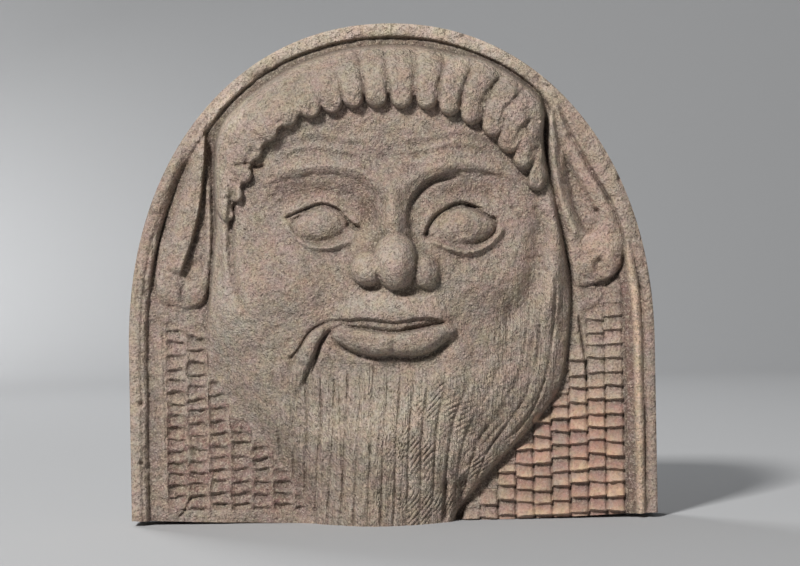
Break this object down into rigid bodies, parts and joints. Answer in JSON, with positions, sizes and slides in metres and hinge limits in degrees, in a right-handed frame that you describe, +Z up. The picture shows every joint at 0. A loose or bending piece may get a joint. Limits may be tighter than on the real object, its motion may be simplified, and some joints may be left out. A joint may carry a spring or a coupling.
{
  "type": "antefix",
  "caption": "Arched terracotta roof antefix with a moulded rim and a silen mask in relief: horse ears, brow fringe and long beard.",
  "frame": {"origin": "middle of the box round the part, at the level of its underside", "axes": "+X to the viewer's right across the front, +Y from the mask to the flat back, +Z up"},
  "size_m": [0.2204, 0.0602, 0.2088],
  "materials": {
    "terracotta": "coarse fired clay, unglazed, weathered grey-brown with traces of red and purple paint"
  },
  "bodies": {
    "root": {"antefix": "terracotta"}
  },
  "joints": []
}
